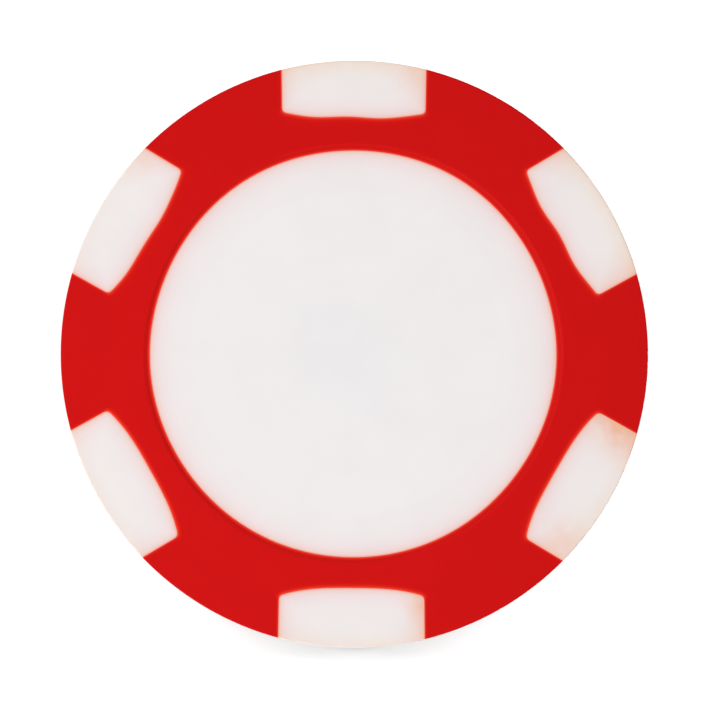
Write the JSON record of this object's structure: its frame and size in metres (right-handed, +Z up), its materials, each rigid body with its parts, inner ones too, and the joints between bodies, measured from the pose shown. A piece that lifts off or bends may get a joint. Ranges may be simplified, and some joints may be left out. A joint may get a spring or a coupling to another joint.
{
  "type": "ball marker",
  "caption": "Poker-chip golf ball marker: a flat red disc with a plain white centre for an imprint and white spots round its edge.",
  "frame": {"origin": "middle of the underside, on the plane that the marker lies on", "axes": "+Z is up, through the thickness and out of the front face; +Y runs from the middle to one white edge spot; +X completes the right-handed frame and runs between two spots"},
  "size_m": [0.04, 0.04, 0.0033],
  "materials": {
    "red_abs": "satin moulded ABS, opaque red",
    "white_abs": "satin moulded ABS, slightly translucent white",
    "zinc_steel": "stamped mild steel, zinc plated"
  },
  "bodies": {
    "root": {"steel_weight": "zinc_steel", "core_front": "white_abs", "core_back": "white_abs", "red_body": "red_abs"}
  },
  "joints": []
}
